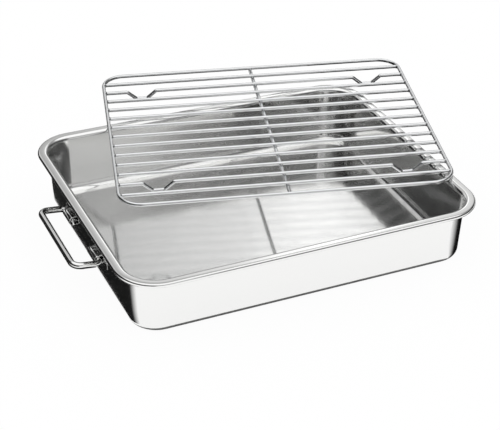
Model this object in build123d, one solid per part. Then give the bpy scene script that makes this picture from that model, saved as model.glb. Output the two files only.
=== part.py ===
from build123d import *
import math
import os

# Roasting pan with a wire rack laid across its rim.
# Millimetres, +Z up. The origin is the middle of the pan's underside, +X runs along the pan's
# long side and +Y towards the side that the rack is pushed to.

# Pan, drawn from one sheet of stainless steel
sheet = 0.8                     # wall thickness of the pan
rim_length = 400.0              # outer edge to outer edge of the rolled rim
rim_width = 330.0
rim_height = 67.5               # top of the rim above the table
rim_corner_radius = 44.0        # outer edge of the rim, seen from above
rim_inset = 12.0                # outer edge of the rim to the inside of the wall
rim_bend_radius = 7.0           # bend from the wall out to the flat of the rim, upper face
roll_radius = 2.0               # outside radius of the rolled edge
roll_turn = 270.0               # how far the edge is curled, in degrees
roll_side_count = 9             # short flats that make up the curl
bend_side_count = 4             # short flats that make up the bends at the wall's foot and rim
base_inset = 14.5               # outer edge of the rim to the wall line at the table
bottom_radius = 10.0            # outside radius of the bend from the floor to the wall

# Folding handles, one bent wire at each end of the pan
handle_wire = 7.0               # wire diameter
handle_span = 116.5             # between the middles of the two legs
handle_reach = 28.4             # hinge axis to the middle of the grip
handle_height = 34.7            # hinge axis above the table
handle_raise = 6.0              # degrees above level, as photographed
grip_bend_radius = 9.0          # middle of the wire, from a leg to the grip
root_bend_radius = 6.0          # middle of the wire, from a leg into the strap
handle_bend_side_count = 6      # short straights that make up each of its bends
handle_end_proud = 2.5          # wire end that shows past the inner end of its tunnel
handle_end_chamfer = 0.6

# Straps, one pressed strip at each end that holds a handle's two in-turned ends
strap_thickness = 1.2
strap_height = 13.0
strap_overhang = 8.0            # how far the strip runs on past the middle of a leg
strap_corner_radius = 3.0
tunnel_length = 22.0            # each half-round tunnel over the wire
tunnel_foot_radius = 0.5        # fillet where a tunnel rises from the strip

# Rack, butt-welded from round wire
rack_length = 360.0             # between the middles of the frame's short sides
rack_width = 290.0              # between the middles of the frame's long sides
rack_corner_radius = 25.0       # middle of the wire
rack_wire = 4.0                 # wire diameter
wire_side_count = 12            # flats round a wire, handles included
bar_count = 13                  # lengthwise wires, feet included
outer_bar_count = 1             # straight wires between a foot wire and the frame's long side
foot_inset = 44.0               # middle of a foot to the frame's short side
foot_depth = 9.3                # middle of the wire at the foot, below the grid
foot_top_width = 34.0
foot_bottom_width = 12.0
foot_bend_radius = 4.0          # middle of the wire
weld_set_down = 0.3             # how far crossing wires sink into each other at the weld
centre_bar_stop = 6.0           # the centre bar's front end to the middle of the frame's front side

# Where the rack lies across the rim
rack_turn = -15.4               # degrees, seen from above
rest_corner_turn = -28.6        # place on the frame's front right bend that lies over the right rim
centre_bar_overhang = 65.9      # end of the centre bar behind the back rim's edge

# Clearances
running_clearance = 0.3         # handle wire to its tunnel, strip and stops
seat_clearance = 0.3            # rack to the rim that it lies on

# Worked out from the sizes above
half_length = rim_length / 2
half_width = rim_width / 2
base_corner_radius = rim_corner_radius - base_inset
draft = math.atan((base_inset - rim_inset + sheet) / rim_height)
flat_edge_inset = rim_inset - rim_bend_radius
handle_radius = handle_wire / 2
rack_radius = rack_wire / 2
tunnel_radius = handle_radius + running_clearance
axis_from_wall = strap_thickness + running_clearance + handle_radius
axis_x = (half_length - base_inset
          + (axis_from_wall + handle_height * math.sin(draft)) / math.cos(draft))
tunnel_outer_end = handle_span / 2 - root_bend_radius - running_clearance
tunnel_inner_end = tunnel_outer_end - tunnel_length
handle_end = tunnel_inner_end - handle_end_proud
bar_spacing = rack_width / (bar_count + 1)


def in_flats(line, side_count):
    """The same line, with each of its bends made up of short straights."""
    points = [line @ 0]
    for edge in line.order_edges():
        sides = 1 if edge.geom_type == GeomType.LINE else side_count
        points += [edge @ (step / sides) for step in range(1, sides + 1)]
    return Polyline(*points)


def sheet_line(depth):
    """One face of the pan's sheet, in section: depth 0 is the outer face, sheet the inner one."""
    lean = depth / math.cos(draft)
    flange_height = rim_height - sheet + depth
    roll_middle = base_inset - roll_radius
    seam = -(bottom_radius + base_corner_radius) / 2
    corner_points = [
        (seam, depth),
        (depth * math.tan(draft) - lean, depth),
        (flange_height * math.tan(draft) - lean, flange_height),
        (roll_middle, flange_height),
    ]
    bends = [bottom_radius - depth, rim_bend_radius - sheet + depth]
    body_line = FilletPolyline(*corner_points, radius=bends)
    curl_middle = (roll_middle, rim_height - roll_radius)
    roll_line = CenterArc(curl_middle, roll_radius - sheet + depth, 90, -roll_turn)
    return in_flats(body_line, bend_side_count), in_flats(Wire([roll_line]), roll_side_count)


def pan_section():
    """Section through wall and rolled rim, with the wall's foot on the section's origin."""
    outer_line, outer_roll = sheet_line(0)
    inner_line, inner_roll = sheet_line(sheet)
    closing_lines = [Line(outer_line @ 0, inner_line @ 0), Line(outer_roll @ 1, inner_roll @ 1)]
    edges = [*outer_line.edges(), *outer_roll.edges(), *inner_line.edges(),
             *inner_roll.edges(), *closing_lines]
    return make_face(edges)


def make_pan_body():
    """The drawn pan: its wall section carried round the base outline, closed by the floor."""
    base_length = rim_length - 2 * base_inset
    base_width = rim_width - 2 * base_inset
    outline = RectangleRounded(base_length, base_width, base_corner_radius).face().outer_wire()
    along = outline % 0
    start = outline @ 0
    outward = along.cross(Vector(0, 0, 1))
    if outward.dot(start) < 0:
        outward = -outward
    side = Plane(origin=start, x_dir=outward, z_dir=outward.cross(Vector(0, 0, 1)))
    wall = sweep(side * pan_section(), path=outline)
    seam = (bottom_radius + base_corner_radius) / 2
    floor_outline = RectangleRounded(base_length - 2 * seam, base_width - 2 * seam,
                                     base_corner_radius - seam)
    return wall + extrude(floor_outline, sheet)


def wall_plane():
    """Plane on the right wall's outer face, level with the handle's axis: x along +Y, y up."""
    outward = Vector(math.cos(draft), 0, -math.sin(draft))
    foot = Vector(axis_x, 0, handle_height) - outward * axis_from_wall
    return Plane(origin=foot, x_dir=(0, 1, 0), z_dir=outward)


def make_strap():
    """The right-hand strap: a flat strip with two tunnels pressed outwards over the wire."""
    strap_length = handle_span + 2 * strap_overhang
    tunnel_middle = (tunnel_outer_end + tunnel_inner_end) / 2
    strip = extrude(RectangleRounded(strap_length, strap_height, strap_corner_radius),
                    strap_thickness)
    outer_radius = tunnel_radius + strap_thickness
    arch = (Pos(0, axis_from_wall) * Circle(outer_radius)
            + Pos(0, axis_from_wall / 2) * Rectangle(2 * outer_radius, axis_from_wall))
    bore = (Pos(0, axis_from_wall) * Circle(tunnel_radius)
            + Pos(0, axis_from_wall / 2) * Rectangle(2 * tunnel_radius, axis_from_wall))
    across = Plane(origin=(-tunnel_length / 2, 0, 0), x_dir=(0, 1, 0), z_dir=(1, 0, 0))
    shell = extrude(across * arch, tunnel_length)
    hole = extrude(across * bore, tunnel_length)
    strap = strip
    for middle in (-tunnel_middle, tunnel_middle):
        strap = strap + Pos(middle, 0, 0) * shell
    feet = [edge for edge in strap.edges().filter_by(Axis.X)
            if abs(edge.center().Z - strap_thickness) < running_clearance
            and abs(abs(edge.center().Y) - outer_radius) < running_clearance]
    strap = fillet(feet, tunnel_foot_radius)
    for middle in (-tunnel_middle, tunnel_middle):
        strap = strap - Pos(middle, 0, 0) * hole
    return wall_plane() * strap


def wire_section(start, along, diameter):
    """Section of a drawn wire, a corner of it upwards, square to the way that it runs."""
    across = Vector(0, 0, 1).cross(along)
    return Plane(origin=start, x_dir=across, z_dir=along) * RegularPolygon(diameter / 2,
                                                                        wire_side_count)


def bent_wire(path, diameter):
    """Wire along a level path or one that bends up and down."""
    section = wire_section(path @ 0, path % 0, diameter)
    return sweep(section, path=path, transition=Transition.RIGHT)


def straight_wire(start, along, length, diameter):
    """Wire of one length that runs straight."""
    return extrude(wire_section(start, along, diameter), length)


def make_handle():
    """The right-hand handle: a bail whose two ends turn in through the strap's tunnels."""
    leg = handle_span / 2
    path = FilletPolyline((0, handle_end), (0, leg), (handle_reach, leg), (handle_reach, -leg),
                          (0, -leg), (0, -handle_end),
                          radius=[root_bend_radius, grip_bend_radius,
                                  grip_bend_radius, root_bend_radius])
    bail = bent_wire(in_flats(path, handle_bend_side_count), handle_wire)
    ends = bail.faces().filter_by(Axis.Y).edges()
    bail = chamfer(ends, handle_end_chamfer)
    return Pos(axis_x, 0, handle_height) * Rot(0, -handle_raise, 0) * bail


def rack_plane():
    """The rack's own plane, lying on three spots of the rim.

    The centre bar lies on the back rim, the frame's left side on the back rim and its front
    right bend on the right rim. In the rack's plane x runs along its length.
    """
    turn = math.radians(rack_turn)
    cosine = math.cos(turn)
    sine = math.sin(turn)
    half_rack_length = rack_length / 2
    half_rack_width = rack_width / 2
    back_edge = half_width - flat_edge_inset
    right_edge = half_length - flat_edge_inset
    bend = math.radians(rest_corner_turn)
    right_x = half_rack_length - rack_corner_radius * (1 - math.cos(bend))
    right_y = -half_rack_width + rack_corner_radius * (1 + math.sin(bend))
    bar_y = half_rack_width - centre_bar_overhang
    middle_x = right_edge - cosine * right_x + sine * right_y
    middle_y = back_edge - cosine * bar_y
    left_y = (back_edge - middle_y + half_rack_length * sine) / cosine
    drop = rack_wire - weld_set_down
    slope_ratio = (left_y - right_y) / (right_x + half_rack_length)
    slope_y = drop / (bar_y - left_y + slope_ratio * half_rack_length)
    slope_x = slope_ratio * slope_y
    middle_z = rim_height + seat_clearance + rack_radius + drop - slope_y * bar_y
    normal = Vector(slope_y * sine - slope_x * cosine, -slope_x * sine - slope_y * cosine, 1)
    return Plane(origin=(middle_x, middle_y, middle_z),
                 x_dir=(cosine, sine, slope_x), z_dir=normal)


def make_rack_frame():
    """The rack's outer loop, in the rack's plane."""
    loop = RectangleRounded(rack_length, rack_width, rack_corner_radius).face().outer_wire()
    return bent_wire(loop, rack_wire)


def frame_reach(place):
    """Half the frame's length between wire middles, as far to one side as a lengthwise wire lies."""
    past_bend = max(0, abs(place) - rack_width / 2 + rack_corner_radius)
    return rack_length / 2 - rack_corner_radius + math.sqrt(rack_corner_radius**2 - past_bend**2)


def make_rack_bar(place, frame):
    """A straight lengthwise wire, its ends shaped to the frame that they are welded to."""
    end = frame_reach(place)
    return straight_wire(Vector(-end, place, 0), Vector(1, 0, 0), 2 * end, rack_wire) - frame


def make_foot_bar(place, frame):
    """A lengthwise wire that dips twice to form two feet, welded to the frame at its ends."""
    end = frame_reach(place)
    foot_middle = rack_length / 2 - foot_inset
    dip = [(foot_top_width / 2, 0), (foot_bottom_width / 2, -foot_depth),
           (-foot_bottom_width / 2, -foot_depth), (-foot_top_width / 2, 0)]
    right = [(foot_middle + x, place, z) for x, z in dip]
    left = [(x - foot_middle, place, z) for x, z in dip]
    path = FilletPolyline((end, place, 0), *right, *left, (-end, place, 0),
                          radius=foot_bend_radius)
    return bent_wire(path, rack_wire) - frame


def make_centre_bar():
    """The bar under the lengthwise wires: it stops short of the frame's front, not of its back."""
    length = rack_width + rack_radius - centre_bar_stop
    start = Vector(0, centre_bar_stop - rack_width / 2, weld_set_down - rack_wire)
    return straight_wire(start, Vector(0, 1, 0), length, rack_wire)


def make_rack():
    """Every piece of the rack by name, in the rack's plane."""
    frame = make_rack_frame()
    pieces = {"rack_frame": frame, "rack_centre_bar": make_centre_bar()}
    number = 0
    for index in range(1, bar_count + 1):
        place = index * bar_spacing - rack_width / 2
        if index == outer_bar_count + 1:
            pieces["rack_foot_wire_front"] = make_foot_bar(place, frame)
        elif index == bar_count - outer_bar_count:
            pieces["rack_foot_wire_back"] = make_foot_bar(place, frame)
        else:
            number += 1
            pieces[f"rack_wire_{number:02d}"] = make_rack_bar(place, frame)
    return pieces


def make_parts():
    """Every sub-part by name, in its place."""
    strap = make_strap()
    handle = make_handle()
    other_end = Rot(0, 0, 180)
    parts = {
        "pan_body": make_pan_body(),
        "right_handle_strap": strap,
        "left_handle_strap": other_end * strap,
        "right_handle": handle,
        "left_handle": other_end * handle,
    }
    lying = rack_plane()
    for name, piece in make_rack().items():
        parts[name] = lying * piece
    return parts


os.makedirs("parts", exist_ok=True)
for name, piece in make_parts().items():
    export_step(piece, f"parts/{name}.step")
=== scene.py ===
"""Roasting pan with a wire rack laid askew across its rim: the looks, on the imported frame.

Sizes are written in millimetres and turned to metres when a mesh is finished.
"""

import logging
import math
from dataclasses import dataclass, field
from enum import Enum

import bmesh
import bpy
from mathutils import Matrix, Vector

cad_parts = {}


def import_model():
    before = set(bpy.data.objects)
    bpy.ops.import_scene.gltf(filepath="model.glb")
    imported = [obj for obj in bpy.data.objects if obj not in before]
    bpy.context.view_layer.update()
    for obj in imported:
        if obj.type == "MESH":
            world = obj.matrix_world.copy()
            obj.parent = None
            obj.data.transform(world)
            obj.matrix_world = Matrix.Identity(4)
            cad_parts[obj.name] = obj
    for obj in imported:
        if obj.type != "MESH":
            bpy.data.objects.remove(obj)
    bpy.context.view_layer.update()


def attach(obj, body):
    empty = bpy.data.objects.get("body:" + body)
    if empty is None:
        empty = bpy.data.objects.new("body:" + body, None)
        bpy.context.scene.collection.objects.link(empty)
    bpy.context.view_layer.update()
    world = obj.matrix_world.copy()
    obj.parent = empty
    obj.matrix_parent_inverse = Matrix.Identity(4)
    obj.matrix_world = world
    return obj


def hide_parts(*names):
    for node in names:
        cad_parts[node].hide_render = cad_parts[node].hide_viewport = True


log = logging.getLogger("roasting_pan")

MM = 0.001                          # metres in a millimetre
MERGE = 0.001                       # mm, vertices closer than this become one
QUARTER = math.pi / 2               # a quarter turn, in radians
X_AXIS = Vector((1, 0, 0))
Y_AXIS = Vector((0, 1, 0))
UP = Vector((0, 0, 1))
WHITE = (1.0, 1.0, 1.0, 1.0)
# A colour Mix node has sockets for every kind of data: these are the ones that colours use.
MIX_SHARE, MIX_FIRST, MIX_SECOND, MIX_RESULT = 0, 6, 7, 2
# Brightness by bearing: pairs of degrees from +Y towards +X and the level there.
Levels = tuple[tuple[float, float], ...]


class Body(Enum):
    """The bodies of the frame, by their packed names."""

    PAN = "pan"
    LEFT_HANDLE = "left_handle"
    RIGHT_HANDLE = "right_handle"
    RACK = "rack"


class Slot(Enum):
    """The record's material slots."""

    PAN = "pan_steel"
    HANDLE = "handle_steel"
    RACK = "rack_steel"


class Side(Enum):
    """The pan's two ends, by the word that the names of their pieces start with."""

    LEFT = "left"
    RIGHT = "right"


class Rounded(Enum):
    """What a bevel rounds, by Blender's own words."""

    EDGES = "EDGES"
    CORNERS = "VERTICES"


def linear(hex_colour: str) -> tuple[float, float, float, float]:
    """Turns an sRGB hex colour to linear red, green, blue and alpha.

    Args:
        hex_colour: Six hex digits after a hash.

    Returns:
        Four numbers for a colour socket.
    """
    values = [int(hex_colour[i:i + 2], 16) / 255 for i in (1, 3, 5)]
    # The sRGB curve: a short straight start, and then a power.
    turned = [v / 12.92 if v <= 0.04045 else ((v + 0.055) / 1.055) ** 2.4 for v in values]
    return (*turned, 1.0)


def add_node(tree: bpy.types.NodeTree, kind: str, settings: dict | None = None,
             links: dict | None = None) -> bpy.types.Node:
    """Adds one node, sets it up and joins its inputs.

    Args:
        tree: The node tree.
        kind: Blender's name of the node type.
        settings: Values by name: a property of the node, or an input socket's default value.
        links: Output sockets by the name or number of the input that they go to.

    Returns:
        The new node.
    """
    node = tree.nodes.new(kind)
    for name, value in (settings or {}).items():
        if isinstance(name, str) and hasattr(node, name):
            setattr(node, name, value)
        else:
            node.inputs[name].default_value = value
    for name, output in (links or {}).items():
        tree.links.new(output, node.inputs[name])
    return node


def new_material(name: str) -> bpy.types.Material:
    """Makes an empty node material.

    Args:
        name: Its name.

    Returns:
        The material, without a node.
    """
    material = bpy.data.materials.new(name)
    material.use_nodes = True
    material.node_tree.nodes.clear()
    return material


def split_way(tree: bpy.types.NodeTree,
              way: bpy.types.NodeSocket) -> tuple[bpy.types.NodeSocket, bpy.types.NodeSocket]:
    """Splits a direction into its bearing and its height.

    Args:
        tree: The node tree.
        way: The direction.

    Returns:
        The bearing, in radians from +Y towards +X, and the direction's Z part.
    """
    parts = add_node(tree, "ShaderNodeSeparateXYZ", None, {0: way}).outputs
    bearing = add_node(tree, "ShaderNodeMath", {"operation": "ARCTAN2"},
                       {0: parts["X"], 1: parts["Y"]})
    return bearing.outputs[0], parts["Z"]


@dataclass(frozen=True)
class SteelFinish:
    """Bare or plated steel with a grain: rolled, drawn or polished, each by its own numbers.

    It mirrors what is round it, softened by the grain, so its colour is nearly white
    and its look comes from roughness, fine streaks and a slow unevenness of the sheet.
    """

    name: str
    colour: str = "#f6f6f5"
    roughness: float = 0.07
    roughness_spread: float = 0.05      # added where the grain is coarser
    streak_width: float = 1.2           # mm, coarser than the real grain so that it shows
    streak_length: float = 60.0         # mm
    streak_depth: float = 0.002         # mm
    streak_detail: float = 3.0          # finer streaks within the streaks
    streak_crispness: float = 0.6       # how strong those are
    patch_length: float = 25.0          # mm, areas where the streaks are rougher or smoother
    patch_detail: float = 2.0
    wave_length: float = 70.0           # mm, slow unevenness of the sheet
    wave_depth: float = 0.10            # mm
    wave_detail: float = 1.0
    rough_from: float = 0.1             # streaks times patches, where roughness starts to rise
    rough_to: float = 0.45              # and where it is full
    grain: float = 0.0                  # how much wider a reflection spreads across the grain

    def material(self) -> bpy.types.Material:
        """Builds the material.

        Returns:
            A metal whose roughness and bump follow streaks along X and a slow wave.
        """
        made = new_material(self.name)
        tree = made.node_tree
        place = add_node(tree, "ShaderNodeTexCoord").outputs["Object"]
        pair_of_streaks = 2 * self.streak_width * MM
        stretched = add_node(tree, "ShaderNodeMapping", {
            "vector_type": "POINT",
            "Scale": (self.streak_width / self.streak_length, 1.0, 1.0)}, {"Vector": place})
        streaks = add_node(tree, "ShaderNodeTexNoise", {
            "Scale": 1 / pair_of_streaks, "Detail": self.streak_detail,
            "Roughness": self.streak_crispness}, {"Vector": stretched.outputs["Vector"]})
        patches = add_node(tree, "ShaderNodeTexNoise", {
            "Scale": 1 / (self.patch_length * MM), "Detail": self.patch_detail},
            {"Vector": place})
        waves = add_node(tree, "ShaderNodeTexNoise", {
            "Scale": 1 / (self.wave_length * MM), "Detail": self.wave_detail},
            {"Vector": place})
        mixed = add_node(tree, "ShaderNodeMath", {"operation": "MULTIPLY"}, {
            0: streaks.outputs["Fac"], 1: patches.outputs["Fac"]})
        rough = add_node(tree, "ShaderNodeMapRange", {
            "From Min": self.rough_from, "From Max": self.rough_to,
            "To Min": self.roughness, "To Max": self.roughness + self.roughness_spread},
            {"Value": mixed.outputs[0]})
        slow = add_node(tree, "ShaderNodeBump", {
            "Strength": 1.0, "Distance": self.wave_depth * MM},
            {"Height": waves.outputs["Fac"]})
        fine = add_node(tree, "ShaderNodeBump", {
            "Strength": 1.0, "Distance": self.streak_depth * MM},
            {"Height": streaks.outputs["Fac"], "Normal": slow.outputs["Normal"]})
        shader = add_node(tree, "ShaderNodeBsdfPrincipled", {
            "Base Color": linear(self.colour), "Metallic": 1.0, "Anisotropic": self.grain},
            {"Roughness": rough.outputs["Result"], "Normal": fine.outputs["Normal"]})
        if self.grain:
            across = add_node(tree, "ShaderNodeCombineXYZ", {"Y": 1.0})
            tree.links.new(across.outputs["Vector"], shader.inputs["Tangent"])
        add_node(tree, "ShaderNodeOutputMaterial", None, {"Surface": shader.outputs["BSDF"]})
        return made


class Finishes:
    """Every finish of the object, each material made once."""

    def __init__(self) -> None:
        """Makes the materials."""
        # Cold-rolled stainless sheet, drawn: satin, so reflections blur, wander a little and
        # spread more one way than the other.
        self.pan = SteelFinish("stainless_steel_drawn_satin", roughness=0.08,
                               roughness_spread=0.04, grain=0.9).material()
        # The same steel pressed into a narrow strip: as satin, but reflections wander less.
        self.strap = SteelFinish("stainless_steel_pressed_strip", roughness=0.08,
                                 wave_length=30.0, wave_depth=0.03).material()
        # Drawn stainless rod, tumbled bright: a smooth mirror stretched along the wire.
        self.handle = SteelFinish("stainless_steel_rod_tumbled", roughness=0.06,
                                  roughness_spread=0.04, wave_length=12.0,
                                  wave_depth=0.01).material()
        # Chrome-plated wire: the brightest and sharpest mirror, hardly any grain.
        self.rack = SteelFinish("chrome_plated_wire", colour="#f2f3f4", roughness=0.06,
                                roughness_spread=0.03, wave_length=15.0,
                                wave_depth=0.01).material()
        # Resistance welds under the plating: soft lumps that scatter the light.
        self.weld = SteelFinish("chrome_plated_weld", colour="#e4e5e6", roughness=0.20,
                                roughness_spread=0.10, wave_length=1.5,
                                wave_depth=0.05).material()


@dataclass
class Pen:
    """Carries a section along straights and round bends, as a die or a bending tool does."""

    mesh: bmesh.types.BMesh
    head: list          # vertices and edges of the section, where the pen is now
    at: Vector          # the pen's place
    along: Vector       # and its direction, a unit vector

    def straight(self, length: float, steps: int = 1) -> None:
        """Carries the section straight on.

        Args:
            length: How far, in millimetres.
            steps: Into how many rings.
        """
        self._carry(0.0, self.at, UP, self.along * (length / steps), steps)
        self.at = self.at + self.along * length

    def bend(self, radius: float, angle: float, towards: Vector, steps: int) -> None:
        """Carries the section round a bend.

        Args:
            radius: Bend radius at the pen, in millimetres.
            angle: How far it turns, in radians.
            towards: Unit vector from the pen to the middle of the bend.
            steps: Into how many rings.
        """
        centre = self.at + towards * radius
        axis = self.along.cross(towards)
        self._carry(angle, centre, axis, Vector(), steps)
        turn = Matrix.Rotation(angle, 3, axis)
        self.at = centre + turn @ (self.at - centre)
        self.along = (turn @ self.along).normalized()

    def _carry(self, angle: float, centre: Vector, axis: Vector, move: Vector,
               steps: int) -> None:
        """Spins the section once and keeps its last ring as the new section.

        Args:
            angle: How far it turns, in radians.
            centre: Middle of the turn.
            axis: Axis of the turn.
            move: How far it moves with each step.
            steps: Into how many rings.
        """
        result = bmesh.ops.spin(self.mesh, geom=self.head, cent=centre, axis=axis, dvec=move,
                                angle=angle, steps=steps, use_merge=False)
        self.head = result["geom_last"]


def wire_pen(mesh: bmesh.types.BMesh, start: Vector, along: Vector, radius: float,
             sides: int = 24) -> Pen:
    """Starts a round wire.

    Args:
        mesh: Where it is made.
        start: Middle of the wire's first end.
        along: Unit vector that it starts along.
        radius: Wire radius.
        sides: Facets round the wire.

    Returns:
        A pen that holds the wire's section.
    """
    placed = Matrix.Translation(start) @ along.to_track_quat("Z", "Y").to_matrix().to_4x4()
    ring = bmesh.ops.create_circle(mesh, cap_ends=False, segments=sides, radius=radius,
                                   matrix=placed)["verts"]
    edges = list({edge for vert in ring for edge in vert.link_edges})
    return Pen(mesh, ring + edges, start.copy(), along.copy())


def bevel(mesh: bmesh.types.BMesh, items: list, width: float, segments: int = 3,
          kind: Rounded = Rounded.EDGES) -> None:
    """Rounds edges or corners.

    Args:
        mesh: Where they are.
        items: The edges, or the vertices of the corners.
        width: Width of the rounding, in millimetres.
        segments: Facets across it.
        kind: Whether edges or corners are rounded.
    """
    bmesh.ops.bevel(mesh, geom=items, offset=width, segments=segments, profile=0.5,
                    affect=kind.value, material=-1)


def close_ends(mesh: bmesh.types.BMesh, chamfer: float = 0.0) -> None:
    """Caps every open end of a wire.

    Args:
        mesh: The wire.
        chamfer: Width of the broken edge round each end, if any.
    """
    open_edges = [edge for edge in mesh.edges if len(edge.link_faces) == 1]
    caps = bmesh.ops.holes_fill(mesh, edges=open_edges, sides=0)["faces"]
    if chamfer:
        bevel(mesh, list({edge for cap in caps for edge in cap.edges}), chamfer)


def finish_mesh(mesh: bmesh.types.BMesh, name: str, material: bpy.types.Material,
                placed: Matrix = Matrix(), sharp_angle: float = 40.0,
                outward: bool = True) -> bpy.types.Object:
    """Turns a mesh in millimetres into a finished object at the origin.

    Args:
        mesh: The mesh, freed at the end.
        name: Name of the piece.
        material: Its finish.
        placed: Where it goes, in millimetres.
        sharp_angle: Edges that turn by more degrees than this stay crisp.
        outward: Whether the normals still have to be turned outwards.

    Returns:
        The object, linked to the scene.
    """
    if outward:
        bmesh.ops.remove_doubles(mesh, verts=mesh.verts[:], dist=MERGE)
        bmesh.ops.recalc_face_normals(mesh, faces=mesh.faces[:])
    bmesh.ops.transform(mesh, matrix=Matrix.Scale(MM, 4) @ placed, verts=mesh.verts[:])
    data = bpy.data.meshes.new(name)
    mesh.to_mesh(data)
    mesh.free()
    data.shade_smooth()
    data.set_sharp_from_angle(angle=math.radians(sharp_angle))
    data.materials.append(material)
    made = bpy.data.objects.new(name, data)
    bpy.context.scene.collection.objects.link(made)
    return made


def settle(piece: bpy.types.Object, body: Body, slot: Slot, *nodes: str) -> None:
    """Ties a piece to its body and hides the CAD nodes that it stands for.

    Args:
        piece: The finished piece.
        body: The body that it moves with.
        slot: The record's material slot; not used.
        nodes: CAD nodes that it replaces.
    """
    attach(piece, body.value)
    if nodes:
        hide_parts(*nodes)
    log.info("%s: %d faces, rides on %s", piece.name, len(piece.data.polygons), body.value)


@dataclass
class Pan:
    """The drawn pan, with a drafted wall and a rolled rim.

    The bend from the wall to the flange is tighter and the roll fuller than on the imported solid,
    because the photo's flange looks flatter than the solid's.
    """

    finish: bpy.types.Material
    sheet: float = 0.8
    half_length: float = 200.0
    half_width: float = 165.0
    rim_height: float = 67.5
    rim_corner_radius: float = 44.0
    rim_inset: float = 12.0
    rim_bend_radius: float = 5.0
    roll_radius: float = 2.4
    roll_turn: float = 270.0            # degrees
    base_inset: float = 14.5
    bottom_radius: float = 10.0
    floor_steps: int = 2
    foot_steps: int = 10
    wall_steps: int = 4
    rim_steps: int = 8
    roll_steps: int = 24
    side_steps: int = 6
    corner_steps: int = 16

    @property
    def draft(self) -> float:
        """Lean of the wall, in radians."""
        return math.atan((self.base_inset - self.rim_inset + self.sheet) / self.rim_height)

    @property
    def base_half_length(self) -> float:
        """Half the length at the table, where the outer faces of the walls meet it."""
        return self.half_length - self.base_inset

    def section(self, mesh: bmesh.types.BMesh, start: Vector) -> None:
        """Draws the upper face of the sheet from the floor to the end of the curl.

        Args:
            mesh: Where it is made.
            start: Where the wall's outer face would meet the table.
        """
        # The section starts on the floor, between the foot's bend and the corner's axis.
        floor_run = (self.bottom_radius + self.rim_corner_radius - self.base_inset) / 2
        turn = QUARTER - self.draft
        foot_radius = self.bottom_radius - self.sheet
        # Where the wall's inner face would meet the floor and the top of the rim, from the start.
        level_thickness = self.sheet / math.cos(self.draft)
        foot_x = self.sheet * math.tan(self.draft) - level_thickness
        top_x = self.rim_height * math.tan(self.draft) - level_thickness
        # A bend takes this share of its radius off the straights on both sides.
        tangent = math.tan(turn / 2)
        slant = (self.rim_height - self.sheet) / math.cos(self.draft)
        begin = start + Vector((-floor_run, 0, self.sheet))
        pen = Pen(mesh, [mesh.verts.new(begin)], begin, X_AXIS)
        pen.straight(floor_run + foot_x - foot_radius * tangent, self.floor_steps)
        pen.bend(foot_radius, turn, UP, self.foot_steps)
        pen.straight(slant - (foot_radius + self.rim_bend_radius) * tangent, self.wall_steps)
        wall = pen.along
        pen.bend(self.rim_bend_radius, turn, Vector((wall.z, 0, -wall.x)), self.rim_steps)
        pen.straight(self.base_inset - self.roll_radius - top_x - self.rim_bend_radius * tangent)
        pen.bend(self.roll_radius, math.radians(self.roll_turn), -UP, self.roll_steps)

    def build(self) -> bpy.types.Object:
        """Carries the section round the pan, closes the floor and gives the sheet its thickness.

        Returns:
            The pan.
        """
        mesh = bmesh.new()
        corner = self.rim_corner_radius - self.base_inset
        reach_x = self.base_half_length
        reach_y = self.half_width - self.base_inset
        start = Vector((reach_x, corner - reach_y, 0))
        self.section(mesh, start)
        pen = Pen(mesh, mesh.verts[:] + mesh.edges[:], start, Y_AXIS)
        for reach in (reach_y, reach_x, reach_y, reach_x):
            pen.straight(2 * (reach - corner), self.side_steps)
            pen.bend(corner, QUARTER, UP.cross(pen.along), self.corner_steps)
        bmesh.ops.remove_doubles(mesh, verts=mesh.verts[:], dist=MERGE)
        floor_edges = [edge for edge in mesh.edges if len(edge.link_faces) == 1
                       and edge.verts[0].co.z < self.bottom_radius]
        bmesh.ops.contextual_create(mesh, geom=floor_edges)
        bmesh.ops.recalc_face_normals(mesh, faces=mesh.faces[:])
        if max(mesh.faces, key=lambda face: face.calc_area()).normal.z < 0:
            bmesh.ops.reverse_faces(mesh, faces=mesh.faces[:])
        bmesh.ops.solidify(mesh, geom=mesh.faces[:], thickness=self.sheet)
        return finish_mesh(mesh, "pan_shell", self.finish, outward=False)

    def dress(self) -> None:
        """Builds the pan and settles it on its body."""
        settle(self.build(), Body.PAN, Slot.PAN, "pan_body")


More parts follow.
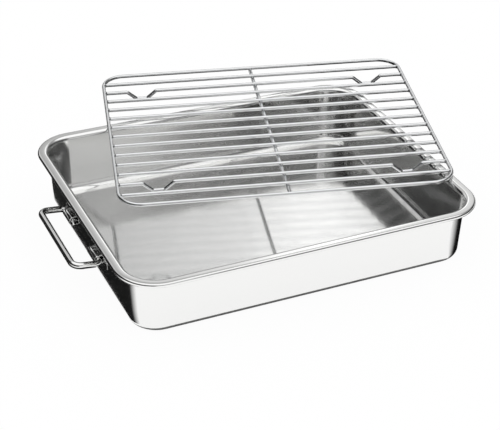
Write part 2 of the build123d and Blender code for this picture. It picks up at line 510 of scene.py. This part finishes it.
@dataclass
class HandleGear:
    """A folding handle and the pressed strap that holds its ends, at the pan's right end.

    The left end's are the same, turned half round.
    """

    pan: Pan
    strap_finish: bpy.types.Material
    wire_finish: bpy.types.Material
    wire: float = 7.0
    span: float = 116.5                 # between the middles of the legs
    reach: float = 28.4                 # hinge axis to the middle of the grip
    height: float = 34.7                # hinge axis above the table
    raised: float = 6.0                 # degrees above level, as photographed
    grip_bend: float = 9.0
    root_bend: float = 6.0
    proud: float = 2.5                  # how far an end stands out of its tunnel
    end_chamfer: float = 0.6
    thickness: float = 1.2
    strap_height: float = 13.0
    overhang: float = 8.0               # strip past the handle's legs
    corner: float = 3.0
    strip_edge: float = 0.3
    tunnel_length: float = 22.0
    tunnel_foot: float = 0.6            # flat beside a tunnel, on the strip
    foot_lift: float = 0.02             # that flat over the strip, so that no faces coincide
    flare: float = 0.9                  # bend where a tunnel rises from its foot
    mouth_edge: float = 0.25
    mouth_angle: float = 1.2            # radians, edges of a tunnel's ends turn by more
    clearance: float = 0.3
    wire_sides: int = 32
    corner_steps: int = 8
    flare_steps: int = 5
    arch_steps: int = 24
    tunnel_steps: int = 2
    mouth_steps: int = 2
    end_steps: int = 2
    root_steps: int = 12
    grip_steps: int = 14
    span_steps: int = 4

    @property
    def tunnel_outer(self) -> float:
        """Outer end of a tunnel, from the middle of the strap."""
        return self.span / 2 - self.root_bend - self.clearance

    @property
    def axis_off_wall(self) -> float:
        """How far the hinge axis stands off the wall's outer face."""
        return self.thickness + self.clearance + self.wire / 2

    @property
    def axis_x(self) -> float:
        """Works out where the hinge axis lies beyond the pan's middle.

        Returns:
            Its place along X, square off the leaning wall at the handle's height.
        """
        foot_height = self.height + self.axis_off_wall * math.sin(self.pan.draft)
        return (self.pan.base_half_length + foot_height * math.tan(self.pan.draft)
                + self.axis_off_wall * math.cos(self.pan.draft))

    def wall_matrix(self) -> Matrix:
        """Places the strap's own frame on the wall's outer face, under the hinge axis.

        Returns:
            A frame with X along the wall, Y up it and Z outwards.
        """
        outward = Vector((math.cos(self.pan.draft), 0, -math.sin(self.pan.draft)))
        foot = Vector((self.axis_x, 0, self.height)) - outward * self.axis_off_wall
        columns = Matrix((Y_AXIS, outward.cross(Y_AXIS), outward)).transposed()
        return Matrix.Translation(foot) @ columns.to_4x4()

    def strip(self, mesh: bmesh.types.BMesh) -> None:
        """Adds the flat strip with round corners.

        Args:
            mesh: Where it is made.
        """
        size = Matrix.Diagonal((self.span / 2 + self.overhang, self.strap_height / 2, 1, 1))
        bmesh.ops.create_grid(mesh, x_segments=1, y_segments=1, size=1, matrix=size)
        bevel(mesh, mesh.verts[:], self.corner, self.corner_steps, Rounded.CORNERS)
        raised = bmesh.ops.extrude_face_region(mesh, geom=mesh.faces[:])["geom"]
        tops = [item for item in raised if isinstance(item, bmesh.types.BMVert)]
        bmesh.ops.translate(mesh, verts=tops, vec=UP * self.thickness)
        rim = [edge for edge in mesh.edges if all(vert in tops for vert in edge.verts)]
        bevel(mesh, rim, self.strip_edge)

    def tunnel(self, middle: float) -> bmesh.types.BMesh:
        """Presses one tunnel over the wire, its feet flared into the strip.

        Args:
            middle: Its place along the strap.

        Returns:
            The tunnel as its own mesh.
        """
        mesh = bmesh.new()
        outer = self.wire / 2 + self.clearance + self.thickness
        begin = Vector((middle - self.tunnel_length / 2, -outer - self.flare - self.tunnel_foot,
                        self.thickness + self.foot_lift))
        pen = Pen(mesh, [mesh.verts.new(begin)], begin, Y_AXIS)
        rise = self.axis_off_wall - self.thickness - self.flare
        pen.straight(self.tunnel_foot)
        pen.bend(self.flare, QUARTER, UP, self.flare_steps)
        pen.straight(rise)
        pen.bend(outer, 2 * QUARTER, Y_AXIS, self.arch_steps)
        pen.straight(rise)
        pen.bend(self.flare, QUARTER, Y_AXIS, self.flare_steps)
        pen.straight(self.tunnel_foot)
        sheet = Pen(mesh, mesh.verts[:] + mesh.edges[:], begin, X_AXIS)
        sheet.straight(self.tunnel_length, self.tunnel_steps)
        bmesh.ops.remove_doubles(mesh, verts=mesh.verts[:], dist=MERGE)
        bmesh.ops.recalc_face_normals(mesh, faces=mesh.faces[:])
        crown = max(mesh.faces, key=lambda face: face.calc_center_median().z)
        if crown.normal.z < 0:
            bmesh.ops.reverse_faces(mesh, faces=mesh.faces[:])
        bmesh.ops.solidify(mesh, geom=mesh.faces[:], thickness=self.thickness)
        mouth = [edge for edge in mesh.edges if edge.calc_face_angle(0.0) > self.mouth_angle
                 and abs(edge.verts[0].co.x - edge.verts[1].co.x) < MERGE]
        bevel(mesh, mouth, self.mouth_edge, self.mouth_steps)
        return mesh

    def bail(self, mesh: bmesh.types.BMesh) -> None:
        """Bends the handle from one length of wire.

        Args:
            mesh: Where it is made.
        """
        leg = self.span / 2
        end = self.tunnel_outer - self.tunnel_length - self.proud
        pen = wire_pen(mesh, Y_AXIS * end, Y_AXIS, self.wire / 2, self.wire_sides)
        pen.straight(leg - end - self.root_bend, self.end_steps)
        pen.bend(self.root_bend, QUARTER, X_AXIS, self.root_steps)
        pen.straight(self.reach - self.root_bend - self.grip_bend)
        pen.bend(self.grip_bend, QUARTER, -Y_AXIS, self.grip_steps)
        pen.straight(self.span - 2 * self.grip_bend, self.span_steps)
        pen.bend(self.grip_bend, QUARTER, -X_AXIS, self.grip_steps)
        pen.straight(self.reach - self.root_bend - self.grip_bend)
        pen.bend(self.root_bend, QUARTER, Y_AXIS, self.root_steps)
        pen.straight(leg - end - self.root_bend, self.end_steps)
        close_ends(mesh, self.end_chamfer)

    def dress(self, side: Side) -> None:
        """Builds one end's strap and handle.

        Args:
            side: Which end.
        """
        half_turn = Matrix.Rotation(2 * QUARTER if side is Side.LEFT else 0.0, 4, "Z")
        mesh = bmesh.new()
        self.strip(mesh)
        plate = bpy.data.meshes.new("strip")
        middle = self.tunnel_outer - self.tunnel_length / 2
        for place in (-middle, middle):
            arch = self.tunnel(place)
            arch.to_mesh(plate)
            arch.free()
            mesh.from_mesh(plate)
        bpy.data.meshes.remove(plate)
        strap = finish_mesh(mesh, f"{side.value}_strap_pressing", self.strap_finish,
                            half_turn @ self.wall_matrix(), outward=False)
        settle(strap, Body.PAN, Slot.PAN, f"{side.value}_handle_strap")
        mesh = bmesh.new()
        self.bail(mesh)
        lifted = (Matrix.Translation((self.axis_x, 0, self.height))
                  @ Matrix.Rotation(-math.radians(self.raised), 4, "Y"))
        handle = finish_mesh(mesh, f"{side.value}_handle_bail", self.wire_finish,
                             half_turn @ lifted)
        settle(handle, Body(f"{side.value}_handle"), Slot.HANDLE, f"{side.value}_handle")


@dataclass
class Rack:
    """The wire rack, in its own plane: X along its length, Y across, Z off the grid."""

    finish: bpy.types.Material
    weld_finish: bpy.types.Material
    length: float = 360.0               # between the middles of the frame's wire
    width: float = 290.0
    corner: float = 25.0
    wire: float = 4.0
    bars: int = 13                      # lengthwise wires, with the two that have feet
    outer_bars: int = 1                 # straight ones outside each of those two
    foot_inset: float = 44.0            # a foot's middle from the frame's short side
    foot_depth: float = 9.3
    foot_top: float = 34.0              # width of the dip at the top and at the bottom
    foot_bottom: float = 12.0
    foot_bend: float = 4.0
    set_down: float = 0.3               # how far the centre bar is pressed into the wires
    bar_stop: float = 6.0               # its front end from the middle of the frame's front side
    bar_chamfer: float = 0.5
    collar_offset: float = 0.35         # weld collar's middle from the face of the frame's wire
    collar_width: float = 0.75
    collar_length: float = 1.5
    collar_end_share: float = 0.99      # its thin end, of the wire's radius, just under its face
    nugget_half_width: float = 1.9
    nugget_half_height: float = 0.8
    corner_steps: int = 16
    side_steps: int = 2
    bar_steps: int = 4
    foot_steps: int = 6
    run_steps: int = 2
    collar_sides: int = 20
    nugget_facets: tuple[int, int] = (16, 10)
    # The plane at rest, askew across the rim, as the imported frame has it.
    origin: tuple[float, float, float] = (59.4485, 83.7401, 71.2661)
    along: tuple[float, float, float] = (0.964017, -0.265534, 0.012776)
    normal: tuple[float, float, float] = (-0.019808, -0.023823, 0.99952)
    welds: bmesh.types.BMesh = field(default_factory=bmesh.new)

    def placed(self) -> Matrix:
        """Turns and moves the rack to where it lies across the rim.

        Returns:
            The rack's own frame, in the pan's.
        """
        x_axis, z_axis = Vector(self.along), Vector(self.normal)
        columns = Matrix((x_axis, z_axis.cross(x_axis), z_axis)).transposed()
        return Matrix.Translation(Vector(self.origin)) @ columns.to_4x4()

    def reach(self, place: float) -> float:
        """Half the frame's length where a lengthwise wire lies.

        Args:
            place: The wire's place across the rack.

        Returns:
            Distance from the rack's middle to the middle of the frame's wire.
        """
        past = max(0.0, abs(place) - self.width / 2 + self.corner)
        return self.length / 2 - self.corner + math.sqrt(self.corner ** 2 - past ** 2)

    def frame_loop(self) -> bmesh.types.BMesh:
        """Bends the outer loop.

        Returns:
            The loop, closed on itself.
        """
        mesh = bmesh.new()
        start = Vector((self.length / 2, self.corner - self.width / 2, 0))
        pen = wire_pen(mesh, start, Y_AXIS, self.wire / 2)
        for side in (self.width, self.length, self.width, self.length):
            pen.straight(side - 2 * self.corner, self.side_steps)
            pen.bend(self.corner, QUARTER, UP.cross(pen.along), self.corner_steps)
        return mesh

    def bar(self, place: float) -> bmesh.types.BMesh:
        """Cuts one straight lengthwise wire, its ends inside the frame's wire.

        Args:
            place: Its place across the rack.

        Returns:
            The wire.
        """
        mesh = bmesh.new()
        end = self.reach(place)
        pen = wire_pen(mesh, Vector((-end, place, 0)), X_AXIS, self.wire / 2)
        pen.straight(2 * end, self.bar_steps)
        close_ends(mesh)
        return mesh

    def foot_bar(self, place: float) -> bmesh.types.BMesh:
        """Bends one lengthwise wire down and up again twice, for two feet.

        Args:
            place: Its place across the rack.

        Returns:
            The wire.
        """
        mesh = bmesh.new()
        end = self.reach(place)
        run = (self.foot_top - self.foot_bottom) / 2
        slope = math.atan2(self.foot_depth, run)
        cut = self.foot_bend * math.tan(slope / 2)
        leg = math.hypot(run, self.foot_depth) - 2 * cut
        to_foot = end - self.length / 2 + self.foot_inset - self.foot_top / 2 - cut
        between = self.length - 2 * self.foot_inset - self.foot_top - 2 * cut
        pen = wire_pen(mesh, Vector((-end, place, 0)), X_AXIS, self.wire / 2)
        for lead in (to_foot, between):
            pen.straight(lead, self.run_steps)
            pen.bend(self.foot_bend, slope, -UP, self.foot_steps)
            pen.straight(leg)
            pen.bend(self.foot_bend, slope, self._left_of(pen), self.foot_steps)
            pen.straight(self.foot_bottom - 2 * cut)
            pen.bend(self.foot_bend, slope, UP, self.foot_steps)
            pen.straight(leg)
            pen.bend(self.foot_bend, slope, -self._left_of(pen), self.foot_steps)
        pen.straight(to_foot, self.run_steps)
        close_ends(mesh)
        return mesh

    @staticmethod
    def _left_of(pen: Pen) -> Vector:
        """The upward side of a pen that runs in the rack's X and Z."""
        return Vector((-pen.along.z, 0, pen.along.x))

    def centre_bar(self) -> bmesh.types.BMesh:
        """Cuts the cross bar under the lengthwise wires.

        Returns:
            The wire, its ends chamfered.
        """
        mesh = bmesh.new()
        start = Vector((0, self.bar_stop - self.width / 2, self.set_down - self.wire))
        pen = wire_pen(mesh, start, Y_AXIS, self.wire / 2)
        pen.straight(self.width + self.wire / 2 - self.bar_stop, self.bar_steps)
        close_ends(mesh, self.bar_chamfer)
        return mesh

    def add_end_welds(self, place: float) -> None:
        """Adds the collar of weld metal at both ends of a lengthwise wire.

        Args:
            place: The wire's place across the rack.
        """
        radius = self.wire / 2
        for side in (-1, 1):
            x_place = side * (self.reach(place) - radius - self.collar_offset)
            lying = (Matrix.Translation((x_place, place, 0))
                     @ Matrix.Rotation(-side * QUARTER, 4, "Y"))
            bmesh.ops.create_cone(self.welds, cap_ends=False, segments=self.collar_sides,
                                  radius1=radius + self.collar_width,
                                  radius2=radius * self.collar_end_share,
                                  depth=self.collar_length, matrix=lying)

    def add_cross_weld(self, place: float) -> None:
        """Adds the nugget between the cross bar and the wire over it.

        Args:
            place: The wire's place across the rack.
        """
        height = (self.set_down - self.wire) / 2
        size = Matrix.Diagonal((self.nugget_half_width, self.nugget_half_width,
                                self.nugget_half_height, 1))
        around, over = self.nugget_facets
        bmesh.ops.create_uvsphere(self.welds, u_segments=around, v_segments=over, radius=1,
                                  matrix=Matrix.Translation((0, place, height)) @ size)

    def dress(self) -> None:
        """Builds every wire of the rack and its welds."""
        placed = self.placed()
        pieces = {"frame": self.frame_loop(), "centre_bar": self.centre_bar()}
        number = 0
        for index in range(1, self.bars + 1):
            place = index * self.width / (self.bars + 1) - self.width / 2
            self.add_end_welds(place)
            self.add_cross_weld(place)
            if index == self.outer_bars + 1:
                pieces["foot_wire_front"] = self.foot_bar(place)
            elif index == self.bars - self.outer_bars:
                pieces["foot_wire_back"] = self.foot_bar(place)
            else:
                number += 1
                pieces[f"wire_{number:02d}"] = self.bar(place)
        self.add_cross_weld(self.width / 2)
        for name, mesh in pieces.items():
            piece = finish_mesh(mesh, f"grid_{name}", self.finish, placed)
            settle(piece, Body.RACK, Slot.RACK, f"rack_{name}")
        welds = finish_mesh(self.welds, "grid_welds", self.weld_finish, placed)
        settle(welds, Body.RACK, Slot.RACK)


@dataclass
class Studio:
    """A white floor and soft light all round, with dark flags and painted shade on the floor.

    Only mirrors see the rings of light, the flags and the painted shade: everything else sees
    white.
    """

    floor_half: float = 3000.0
    floor_seen: float = 0.95        # share of plain white in the floor, for the camera
    floor_mirrored: float = 0.9     # and for mirrors
    # Brightness of the rings at the horizon, over it and high up.
    rings: tuple[Levels, ...] = (
        ((-180, 0.9), (-165, 0.9), (-155, 0.05), (-60, 0.01), (10, 0.03), (20, 0.15), (60, 0.15),
         (80, 0.05), (135, 0.05), (150, 0.2), (158, 0.35), (166, 0.8), (180, 0.9)),
        ((-180, 0.3), (-168, 0.25), (-160, 0.08), (-60, 0.01), (-27, 0.01), (-24, 0.03),
         (-20, 0.55), (-5, 0.75), (3, 0.6), (9, 0.40), (14, 0.45), (17.5, 0.54), (21, 0.76),
         (24, 0.90), (26.5, 1.3), (29.5, 1.3), (31.5, 0.8), (42, 0.6), (55, 0.1), (135, 0.05),
         (150, 0.06), (156.5, 0.06), (158, 0.12), (159, 0.20), (160, 0.36), (161, 0.53),
         (162, 0.63), (164, 0.52), (166, 0.48), (172, 0.4), (180, 0.3)),
        ((-180, 0.45), (-165, 0.45), (-155, 0.2), (-60, 0.05), (-28, 0.07), (-24, 0.08),
         (-20, 0.5), (10, 0.6), (15, 0.35), (25, 0.3), (50, 0.3), (70, 0.3), (140, 0.3),
         (160, 0.4), (170, 0.45), (180, 0.45)))
    # Elevations, in degrees, between which each ring gives way to the next, and then to the
    # overhead light.
    ring_edges: tuple[tuple[float, float], ...] = ((14.0, 20.0), (35.0, 38.0), (46.0, 56.0))
    overhead: float = 1.05
    # Spots on the floor from which each side's cloth fades with the bearing, and the bearings
    # where it is full and where it is gone. The painted shade under the pan fades as the right
    # side's cloth does.
    left_spot: tuple[float, float] = (-178.0, -140.0)
    left_fade: tuple[float, float] = (-47.0, -79.0)
    right_spot: tuple[float, float] = (166.0, -149.0)
    right_fade: tuple[float, float] = (88.0, 135.0)
    flag_height: float = 0.4
    shade_height: float = 0.2
    shade_corner: float = 31.0
    corner_steps: int = 12

    @staticmethod
    def _rising(tree: bpy.types.NodeTree, height: bpy.types.NodeSocket,
                edges: tuple[float, float]) -> bpy.types.NodeSocket:
        """Rises softly from nothing to one between two elevations.

        Args:
            tree: The world's nodes.
            height: The Z part of the direction.
            edges: The two elevations, in degrees.

        Returns:
            The share.
        """
        low, high = (math.sin(math.radians(edge)) for edge in edges)
        return add_node(tree, "ShaderNodeMapRange", {
            "interpolation_type": "SMOOTHSTEP", "From Min": low, "From Max": high},
            {"Value": height}).outputs["Result"]

    @staticmethod
    def _ring(tree: bpy.types.NodeTree, share: bpy.types.NodeSocket,
              levels: Levels) -> bpy.types.NodeSocket:
        """Draws brightness against bearing.

        Args:
            tree: The world's nodes.
            share: The bearing as a share of a full turn.
            levels: Bearing and brightness of each stop.

        Returns:
            The brightness as a colour.
        """
        ramp = add_node(tree, "ShaderNodeValToRGB", None, {"Fac": share})
        stops = ramp.color_ramp.elements
        already_there = len(stops)
        for index, (degrees, level) in enumerate(levels):
            position = (degrees + 180) / 360
            stop = stops[index] if index < already_there else stops.new(position)
            stop.position = position
            stop.color = (level, level, level, 1)
        return ramp.outputs["Color"]

    def world(self) -> None:
        """Lights the scene: white for the camera, and the rings of light in mirrors."""
        made = bpy.data.worlds.new("soft_studio")
        made.use_nodes = True
        tree = made.node_tree
        tree.nodes.clear()
        way = add_node(tree, "ShaderNodeTexCoord").outputs["Generated"]
        bearing, height = split_way(tree, way)
        share = add_node(tree, "ShaderNodeMapRange", {
            "From Min": -2 * QUARTER, "From Max": 2 * QUARTER}, {"Value": bearing})
        layers = [self._ring(tree, share.outputs["Result"], levels) for levels in self.rings]
        overhead = add_node(tree, "ShaderNodeRGB")
        overhead.outputs[0].default_value = (self.overhead, self.overhead, self.overhead, 1)
        mirrored = layers[0]
        for upper, edges in zip((*layers[1:], overhead.outputs[0]), self.ring_edges):
            mirrored = add_node(tree, "ShaderNodeMix", {"data_type": "RGBA"}, {
                MIX_SHARE: self._rising(tree, height, edges),
                MIX_FIRST: mirrored, MIX_SECOND: upper}).outputs[MIX_RESULT]
        rays = add_node(tree, "ShaderNodeLightPath").outputs
        seen = add_node(tree, "ShaderNodeMix", {"data_type": "RGBA", MIX_FIRST: WHITE},
                        {MIX_SHARE: rays["Is Glossy Ray"], MIX_SECOND: mirrored})
        glow = add_node(tree, "ShaderNodeBackground", {"Strength": 1.0},
                        {"Color": seen.outputs[MIX_RESULT]})
        add_node(tree, "ShaderNodeOutputWorld", None, {"Surface": glow.outputs[0]})
        bpy.context.scene.world = made

    def card(self, name: str, low: tuple[float, float], high: tuple[float, float], height: float,
             material: bpy.types.Material, corner: float = 0.0) -> bpy.types.Object:
        """Lays one flat card.

        Args:
            name: Name of the card.
            low: Its lower corner in X and Y, in millimetres.
            high: Its upper corner.
            height: How high it lies.
            material: Its finish.
            corner: Radius of its corners, if they are round.

        Returns:
            The card.
        """
        mesh = bmesh.new()
        placed = Matrix.Translation(((low[0] + high[0]) / 2, (low[1] + high[1]) / 2, height))
        size = Matrix.Diagonal(((high[0] - low[0]) / 2, (high[1] - low[1]) / 2, 1, 1))
        bmesh.ops.create_grid(mesh, x_segments=1, y_segments=1, size=1, matrix=placed @ size)
        if corner:
            bevel(mesh, mesh.verts[:], corner, self.corner_steps, Rounded.CORNERS)
        card = finish_mesh(mesh, name, material, outward=False)
        return card

    def floor(self) -> None:
        """Lays the white floor: mostly its own white, with a soft share of real shade."""
        made = new_material("white_paper_floor")
        tree = made.node_tree
        # White paper: matt, so it takes a faint shadow and reads as white round the object.
        paper = add_node(tree, "ShaderNodeBsdfDiffuse", {"Color": WHITE})
        glow = add_node(tree, "ShaderNodeEmission", {"Color": WHITE, "Strength": 1.0})
        rays = add_node(tree, "ShaderNodeLightPath").outputs
        mirrored = add_node(tree, "ShaderNodeMath", {
            "operation": "MULTIPLY", 1: self.floor_mirrored}, {0: rays["Is Glossy Ray"]})
        share = add_node(tree, "ShaderNodeMath", {
            "operation": "MULTIPLY_ADD", 1: self.floor_seen},
            {0: rays["Is Camera Ray"], 2: mirrored.outputs[0]})
        mixed = add_node(tree, "ShaderNodeMixShader", None, {
            0: share.outputs[0], 1: paper.outputs[0], 2: glow.outputs[0]})
        add_node(tree, "ShaderNodeOutputMaterial", None, {"Surface": mixed.outputs[0]})
        half = self.floor_half
        self.card("floor", (-half, -half), (half, half), 0.0, made)

    @staticmethod
    def fading_card(name: str, colour: str, spot: tuple[float, float],
                     fade: tuple[float, float]) -> bpy.types.Material:
        """Weaves a card that thins out with the bearing from a spot on the floor.

        Args:
            name: Name of the material.
            colour: The card's colour: dark for a flag's cloth, grey for painted shade under the
                pan.
            spot: Where the bearing is taken from, in millimetres.
            fade: Bearings, in degrees from +Y towards +X, where it is full and where it is gone.

        Returns:
            The material.
        """
        made = new_material(name)
        tree = made.node_tree
        place = add_node(tree, "ShaderNodeTexCoord").outputs["Object"]
        offset = add_node(tree, "ShaderNodeVectorMath", {
            "operation": "SUBTRACT", 1: (spot[0] * MM, spot[1] * MM, 0)}, {0: place})
        bearing, _ = split_way(tree, offset.outputs[0])
        gone = add_node(tree, "ShaderNodeMapRange", {
            "From Min": math.radians(fade[0]), "From Max": math.radians(fade[1])},
            {"Value": bearing})
        # Velvet for the flags: it gives back almost no light, so steel that faces it turns dark.
        # In grey under the pan the same card is painted shade.
        cloth = add_node(tree, "ShaderNodeBsdfDiffuse", {"Color": linear(colour)})
        clear = add_node(tree, "ShaderNodeBsdfTransparent")
        mixed = add_node(tree, "ShaderNodeMixShader", None, {
            0: gone.outputs["Result"], 1: cloth.outputs[0], 2: clear.outputs[0]})
        add_node(tree, "ShaderNodeOutputMaterial", None, {"Surface": mixed.outputs[0]})
        return made

    def flags(self) -> None:
        """Lays cards that only mirrors see.

        Dark ones lie to the left, to the right and behind, and a grey one is painted shade: the
        pan's shadow on the floor under it, as the steel mirrors it.
        """
        left = self.fading_card("black_velvet_left", "#262626", self.left_spot, self.left_fade)
        right = self.fading_card("black_velvet_right", "#161616", self.right_spot,
                                  self.right_fade)
        # Painted shade: a grey card under the pan stands in for the pan's shadow on the floor in
        # reflections.
        shade = self.fading_card("painted_shade_under_pan", "#808080", self.right_spot,
                                  self.right_fade)
        half = self.floor_half
        lift, shade_lift = self.flag_height, self.shade_height
        for name, low, high, height, material, corner in (
                ("left_flag", (-half, -270), (-188, half), lift, left, 0.0),
                ("right_flag", (168, -190), (420, 480), lift, right, 0.0),
                ("back_flag", (-170, 168), (168, 480), lift, right, 0.0),
                ("shade_under_pan", (-184, -153.5), (184, 150), shade_lift, shade,
                 self.shade_corner)):
            card = self.card(name, low, high, height, material, corner)
            card.visible_camera = False
            card.visible_diffuse = False
            card.visible_shadow = False
            card.visible_transmission = False

    def set_up(self) -> None:
        """Builds the whole studio."""
        self.world()
        self.floor()
        self.flags()
        bpy.context.scene.view_settings.view_transform = "Standard"
        log.info("studio: white floor, soft world, four cards")


@dataclass
class PhotoCamera:
    """The photograph's camera, solved from the pan's rim and the rack's wires.

    Angles are in degrees, and places in millimetres from the middle of the pan's underside:
    aside and above in the image's own directions, distance along the view.
    """

    azimuth: float = -24.42
    elevation: float = 31.32
    roll: float = 0.86
    aside: float = -0.49
    above: float = 11.9
    distance: float = 1580.77
    focal_px: float = 1433.63
    image_width: float = 500.0
    sensor_width: float = 36.0
    nearest: float = 0.05               # metres, as Blender's clipping has them
    farthest: float = 50.0

    def place(self) -> None:
        """Makes the camera and gives it to the scene."""
        turn, tilt, roll = map(math.radians, (self.azimuth, self.elevation, self.roll))
        back = Vector((math.sin(turn) * math.cos(tilt), -math.cos(turn) * math.cos(tilt),
                       math.sin(tilt)))
        level = Vector((math.cos(turn), math.sin(turn), 0))
        up = back.cross(level)
        right = level * math.cos(roll) + up * math.sin(roll)
        top = up * math.cos(roll) - level * math.sin(roll)
        data = bpy.data.cameras.new("photo_camera")
        data.sensor_width = self.sensor_width
        data.lens = self.focal_px / self.image_width * self.sensor_width
        data.clip_start, data.clip_end = self.nearest, self.farthest
        camera = bpy.data.objects.new("photo_camera", data)
        spot = right * self.aside + top * self.above + back * self.distance
        turned = Matrix((right, top, back)).transposed().to_4x4()
        camera.matrix_world = Matrix.Translation(spot * MM) @ turned
        bpy.context.scene.collection.objects.link(camera)
        bpy.context.scene.camera = camera


def main() -> None:
    """Builds the dressed object and its studio."""
    logging.basicConfig(level=logging.INFO, format="%(name)s: %(message)s")
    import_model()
    PhotoCamera().place()
    Studio().set_up()
    finishes = Finishes()
    pan = Pan(finishes.pan)
    pan.dress()
    gear = HandleGear(pan, finishes.strap, finishes.handle)
    for side in Side:
        gear.dress(side)
    Rack(finishes.rack, finishes.weld).dress()


if __name__ == "__main__":
    main()
